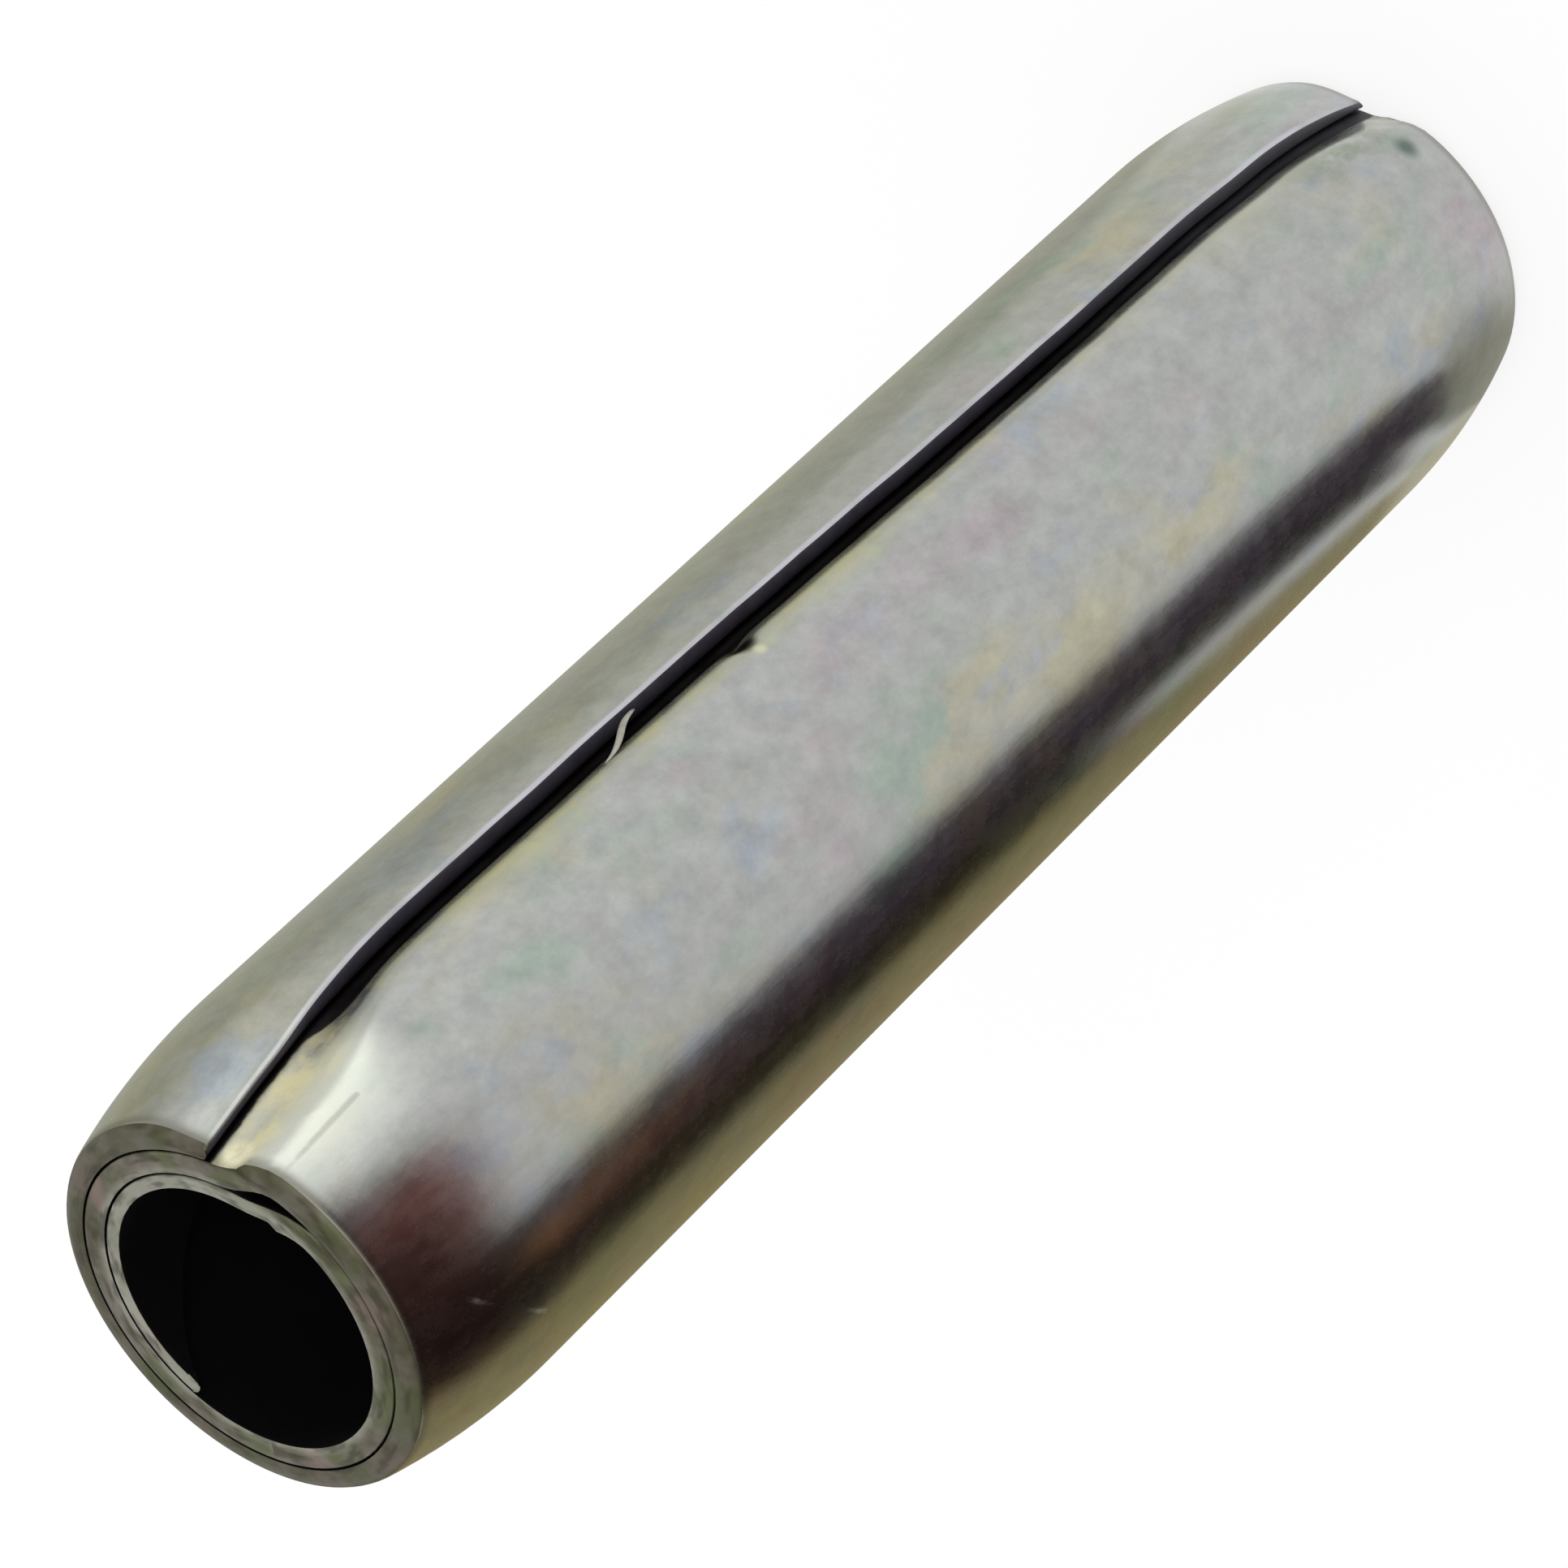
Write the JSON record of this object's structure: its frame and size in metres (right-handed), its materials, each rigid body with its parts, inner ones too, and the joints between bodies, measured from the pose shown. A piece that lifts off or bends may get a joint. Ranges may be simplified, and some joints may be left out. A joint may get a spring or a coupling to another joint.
{
  "type": "coiled spring roll pin",
  "caption": "Coiled spring pin: a steel strip rolled up on itself into a springy tube with narrowed ends, pressed into a hole to hold parts together",
  "frame": {"origin": "middle of the lower end face, on the pin's axis; the pin stands on this face", "axes": "+Z runs along the pin from the lower end face to the upper one; the seam, where the strip's outer edge lies, runs up the front, at -Y; the two ends are alike"},
  "size_m": [0.0106, 0.0106, 0.045],
  "materials": {
    "spring_steel": "bare rolled spring steel strip, dull grey and lightly tumbled, with faint mottling and fine scratches"
  },
  "bodies": {
    "root": {"coiled_pin": "spring_steel"}
  },
  "joints": []
}
